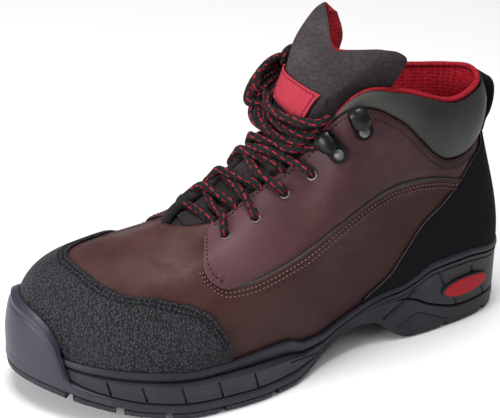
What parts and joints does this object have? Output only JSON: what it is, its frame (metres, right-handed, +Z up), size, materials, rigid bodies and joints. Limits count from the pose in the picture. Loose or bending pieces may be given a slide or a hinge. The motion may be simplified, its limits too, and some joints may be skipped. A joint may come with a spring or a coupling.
{
  "type": "ankle-high safety boot",
  "caption": "Left lace-up safety work boot in brown leather with black toe cap, padded collar, speed hooks and a lugged rubber sole.",
  "frame": {"origin": "centre of the bounding box in plan, on the floor the sole stands on", "axes": "+X from heel to toe, +Y to the lateral (outer) side, +Z up"},
  "size_m": [0.3082, 0.1168, 0.1911],
  "materials": {
    "brown_leather": "oiled, matte",
    "burgundy_leather": "oiled, soft sheen",
    "grained_cap": "coarse grain, matte",
    "counter_leather": "smooth, matte",
    "collar_cloth": "soft, satin",
    "tongue_cloth": "woven, matte",
    "label_red": "woven, satin",
    "badge_red": "satin",
    "loop_webbing": "woven, matte",
    "hook_metal": "gloss black",
    "lace_cord": "braided, matte",
    "footbed_cloth": "felted, matte",
    "sole_rubber": "moulded, matte"
  },
  "bodies": {
    "root": {"upper": "brown_leather", "quarter_lateral": "burgundy_leather", "quarter_medial": "burgundy_leather", "toe_cap": "grained_cap", "heel_counter": "counter_leather", "collar_pad_lateral": "collar_cloth", "collar_pad_medial": "collar_cloth", "tongue": "tongue_cloth", "tongue_label": "label_red", "heel_badge": "badge_red", "pull_loop": "loop_webbing", "hook_lateral_1": "hook_metal", "hook_lateral_2": "hook_metal", "hook_medial_1": "hook_metal", "hook_medial_2": "hook_metal", "lace_crossings": "lace_cord", "lace_run_1": "lace_cord", "lace_run_2": "lace_cord", "lace_run_3": "lace_cord", "insole": "footbed_cloth", "midsole": "sole_rubber", "outsole": "sole_rubber", "toe_bumper": "sole_rubber"}
  },
  "joints": []
}
